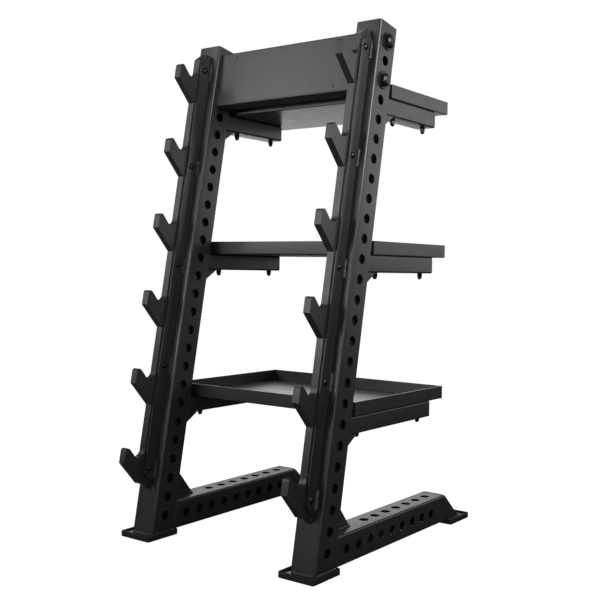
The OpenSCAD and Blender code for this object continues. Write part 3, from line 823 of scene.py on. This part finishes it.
class RACK_OT_shelf_welds(bpy.types.Operator):
    """Lays the welds of the shelf arms, their gussets and the corners of the trays"""

    bl_idname = "rack.shelf_welds"
    bl_label = "Shelf welds"

    def execute(self, context):
        coat = material_of("satin black powder coat")
        for shelf in SHELVES:
            beads = []
            for side, _ in SIDES:
                low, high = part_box(f"shelf_arm_{shelf}_{side}")
                top_y, foot_y = rear_face_y(high.z), rear_face_y(low.z)
                for face, at in ((-1.0, low.x), (1.0, high.x)):
                    beads.append({
                        "start": (at, foot_y + ARM_FACE_INSET, low.z + ARM_SIDE_INSET),
                        "end": (at, top_y - ARM_FACE_INSET, high.z - ARM_SIDE_INSET),
                        "first": ACROSS * face, "second": BACK, "size": ARM_BEAD,
                    })
                # Under the arm, between its two gussets
                beads.append({
                    "start": (low.x + ARM_FOOT_INSET, foot_y, low.z),
                    "end": (high.x - ARM_FOOT_INSET, foot_y, low.z),
                    "first": -UPWARD, "second": BACK, "size": ARM_BEAD,
                })
            lip_low, lip_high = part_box(f"tray_lips_{shelf}")
            for sx, at in ((1.0, lip_low.x + TRAY_SHEET), (-1.0, lip_high.x - TRAY_SHEET)):
                for sy, y in ((1.0, lip_low.y + TRAY_SHEET), (-1.0, lip_high.y - TRAY_SHEET)):
                    beads.append({
                        "start": (at, y, lip_low.z + TRAY_SHEET), "end": (at, y, lip_high.z - LIP_INSET),
                        "first": ACROSS * sx, "second": BACK * sy, "size": TRAY_BEAD, "ripple": 0.08,
                    })
            weld_beads(f"shelf_weld_beads_{shelf}", beads, coat)
        return {"FINISHED"}


# Each panel: name, bearing to the right of straight in front, distance, height, height of its aim,
# width, length, spread and watts. Bearings and spreads are in degrees, and lengths in metres.
PANELS = (
    ("front", -15, 3.2, 1.4, 1.2, 1.2, 0.8, 60, 8.0),
    ("front_left", -40, 2.0, 1.4, 1.0, 0.3, 1.2, 180, 8.0),
    ("front_right", 50, 2.6, 1.0, 0.9, 0.2, 1.6, 180, 12.0),
    ("high_left", -40, 2.0, 2.3, 1.0, 0.6, 0.6, 180, 4.0),
    ("right", 80, 1.3, 1.5, 1.2, 0.6, 0.6, 120, 9.0),
    ("back_right", 145, 2.75, 1.5, 1.3, 1.2, 1.0, 120, 3.0),
    ("low_back_right", 150, 2.75, 0.8, 1.0, 1.2, 0.8, 180, 3.0),
    ("back_left", -140, 2.8, 1.1, 1.15, 2.2, 0.9, 90, 4.0),
    ("high_back", -155, 2.0, 2.6, 0.7, 1.2, 1.2, 180, 12.0),
)


# Half the side of the floor, and strength of the light from all round
FLOOR_HALF = 30.0
FILL = 0.08


class RACK_OT_studio(bpy.types.Operator):
    """Sets up the floor, the pale surroundings, the lights and the camera"""

    bl_idname = "rack.studio"
    bl_label = "Studio"

    def execute(self, context):
        studio = context.scene.rack_studio
        self.make_floor(studio)
        self.make_world(context.scene, studio)
        for panel in PANELS:
            self.make_panel(context.scene, *panel)
        self.make_camera(context.scene, studio)
        context.scene.view_settings.view_transform = "Standard"
        return {"FINISHED"}

    def make_panel(self, scene, name, bearing, distance, height, aim, wide, tall, spread, watts):
        lamp = bpy.data.lights.new("studio_" + name, "AREA")
        lamp.shape = "RECTANGLE"
        lamp.size, lamp.size_y, lamp.energy = wide, tall, watts
        lamp.spread = math.radians(spread)
        holder = bpy.data.objects.new("studio_" + name, lamp)
        turn = math.radians(bearing)
        holder.location = (distance * math.sin(turn), -distance * math.cos(turn), height)
        holder.rotation_euler = (math.pi / 2 - math.atan2(height - aim, distance), 0.0, turn)
        holder.visible_camera = False
        scene.collection.objects.link(holder)

    def make_floor(self, studio):
        half = FLOOR_HALF
        mesh = bpy.data.meshes.new("studio_floor")
        corners = [(-half, -half, 0), (half, -half, 0), (half, half, 0), (-half, half, 0)]
        mesh.from_pydata(corners, [], [(0, 1, 2, 3)])
        floor = bpy.data.objects.new("studio_floor", mesh)
        bpy.context.scene.collection.objects.link(floor)
        material = bpy.data.materials.new("pale floor")
        material.use_nodes = True
        tree = material.node_tree
        shader = tree.nodes["Principled BSDF"]
        shader.inputs["Base Color"].default_value = (*studio.floor, 1.0)
        shader.inputs["Roughness"].default_value = 0.9
        shader.inputs["Specular IOR Level"].default_value = 0.0
        shader.inputs["Emission Color"].default_value = (1.0, 1.0, 1.0, 1.0)
        seen = tree.nodes.new("ShaderNodeLightPath").outputs["Is Camera Ray"]
        tree.links.new(seen, shader.inputs["Emission Strength"])
        dress(floor, material)

    def make_world(self, scene, studio):
        world = bpy.data.worlds.new("pale surroundings")
        scene.world = world
        world.use_nodes = True
        tree = world.node_tree
        seen = tree.nodes.new("ShaderNodeLightPath").outputs["Is Camera Ray"]
        backdrop = tree.nodes["Background"]
        backdrop.inputs["Color"].default_value = (*studio.backdrop, 1.0)
        backdrop.inputs["Strength"].default_value = 1.0
        fill = tree.nodes.new("ShaderNodeBackground")
        fill.name = "fill"
        fill.inputs["Color"].default_value = (1.0, 1.0, 1.0, 1.0)
        fill.inputs["Strength"].default_value = FILL
        mix = tree.nodes.new("ShaderNodeMixShader")
        tree.links.new(seen, mix.inputs[0])
        tree.links.new(fill.outputs[0], mix.inputs[1])
        tree.links.new(backdrop.outputs[0], mix.inputs[2])
        tree.links.new(mix.outputs[0], tree.nodes["World Output"].inputs["Surface"])

    def make_camera(self, scene, studio):
        lens = bpy.data.cameras.new("studio_camera")
        lens.sensor_width = 36.0
        lens.lens = studio.lens
        lens.shift_x = studio.shift
        lens.clip_end = 100.0
        camera = bpy.data.objects.new("studio_camera", lens)
        look = Euler((math.pi / 2 - studio.tilt, 0.0, studio.turn)).to_matrix()
        look = look @ Matrix.Rotation(studio.roll, 3, "Z")
        camera.matrix_world = Matrix.Translation(studio.camera_at) @ look.to_4x4()
        scene.collection.objects.link(camera)
        scene.camera = camera


OPERATORS = (
    RACK_OT_finishes,
    RACK_OT_uprights,
    RACK_OT_base,
    RACK_OT_hooks,
    RACK_OT_header,
    RACK_OT_shelves,
    RACK_OT_rail_welds,
    RACK_OT_base_welds,
    RACK_OT_shelf_welds,
    RACK_OT_studio,
)


class RACK_PT_panel(bpy.types.Panel):
    """Lists the rack's settings and steps"""

    bl_idname = "RACK_PT_panel"
    bl_label = "Dumbbell rack"
    bl_space_type = "VIEW_3D"
    bl_region_type = "UI"
    bl_category = "Rack"

    def draw(self, context):
        for attribute, group in SETTINGS.items():
            box = self.layout.box()
            settings = getattr(context.scene, attribute)
            for name in group.__annotations__:
                box.prop(settings, name)
        for operator in OPERATORS:
            self.layout.operator(operator.bl_idname)


CLASSES = (*SETTINGS.values(), *OPERATORS, RACK_PT_panel)


def register():
    for each in CLASSES:
        bpy.utils.register_class(each)
    for attribute, group in SETTINGS.items():
        setattr(bpy.types.Scene, attribute, bpy.props.PointerProperty(type=group))


def unregister():
    for attribute in SETTINGS:
        delattr(bpy.types.Scene, attribute)
    for each in reversed(CLASSES):
        bpy.utils.unregister_class(each)


def main():
    register()
    for operator in OPERATORS:
        getattr(bpy.ops.rack, operator.bl_idname.split(".")[1])()


if __name__ == "__main__":
    main()
